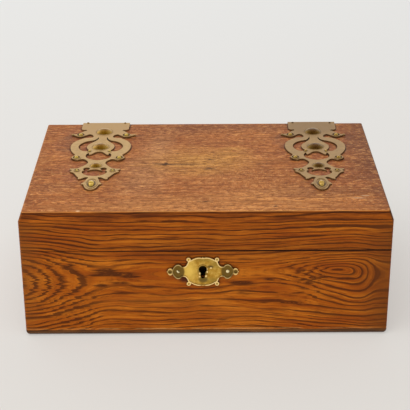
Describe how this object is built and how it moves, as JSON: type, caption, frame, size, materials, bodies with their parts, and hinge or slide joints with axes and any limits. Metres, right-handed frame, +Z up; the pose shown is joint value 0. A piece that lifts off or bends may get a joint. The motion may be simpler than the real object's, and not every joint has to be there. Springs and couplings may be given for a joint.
{
  "type": "stationery box",
  "caption": "Oak box for writing paper with a mitred body, a hinged lid with bevelled edges, pierced brass strap hinges with domed studs, a lock with escutcheon, and fitted divisions inside.",
  "frame": {"origin": "on the underside of the bottom board, at the middle of the woodwork's width and depth", "axes": "+X along the width, to the right seen from the front; +Y to the back, where the hinges are; +Z up"},
  "size_m": [0.35, 0.2406, 0.1362],
  "materials": {
    "oak": "polished figured oak",
    "oak_top": "polished oak, faded",
    "oak_inside": "oiled oak",
    "baize": "green baize",
    "brass_straps": "cast, lacquered",
    "brass_studs": "polished, lacquered",
    "brass_escutcheon": "cast, polished, lacquered",
    "brass_lock": "rolled, plain",
    "steel": "bright steel"
  },
  "bodies": {
    "box": {"front_wall": "oak", "back_wall": "oak", "left_wall": "oak", "right_wall": "oak", "bottom_board": "oak", "long_divider": "oak_inside", "short_divider": "oak_inside", "floor_lining": "baize", "lock_plate": "brass_lock", "lock_case": "brass_lock", "bolt_spring": "steel", "lock_rivets": "brass_lock", "lock_screws": "steel", "escutcheon": "brass_escutcheon", "escutcheon_pins": "brass_studs", "hinge_leaf_left": "brass_straps", "hinge_leaf_right": "brass_straps", "hinge_leaf_nails": "brass_studs", "hinge_pin_left": "steel", "hinge_pin_right": "steel"},
    "lid": {"top_board": "oak_top", "lid_front_wall": "oak", "lid_back_wall": "oak", "lid_left_wall": "oak", "lid_right_wall": "oak", "strap_left": "brass_straps", "strap_right": "brass_straps", "large_studs": "brass_studs", "neck_studs": "brass_studs", "tip_studs": "brass_studs", "scroll_pins": "brass_studs", "leaf_pins": "brass_studs", "flange_nails": "brass_studs", "link_plate": "brass_lock", "link_plate_screws": "steel"},
    "bolt": {"lock_bolt": "brass_lock"}
  },
  "joints": [
    {"name": "lid_hinge", "type": "hinge", "parent": "box", "child": "lid", "pos_m": [0, 0.1189, 0.0914], "axis": [-1, 0, 0], "range_deg": [0, 98]},
    {"name": "lock_bolt_slide", "type": "slide", "parent": "box", "child": "bolt", "axis": [1, 0, 0], "range_m": [0, 0.005]}
  ]
}
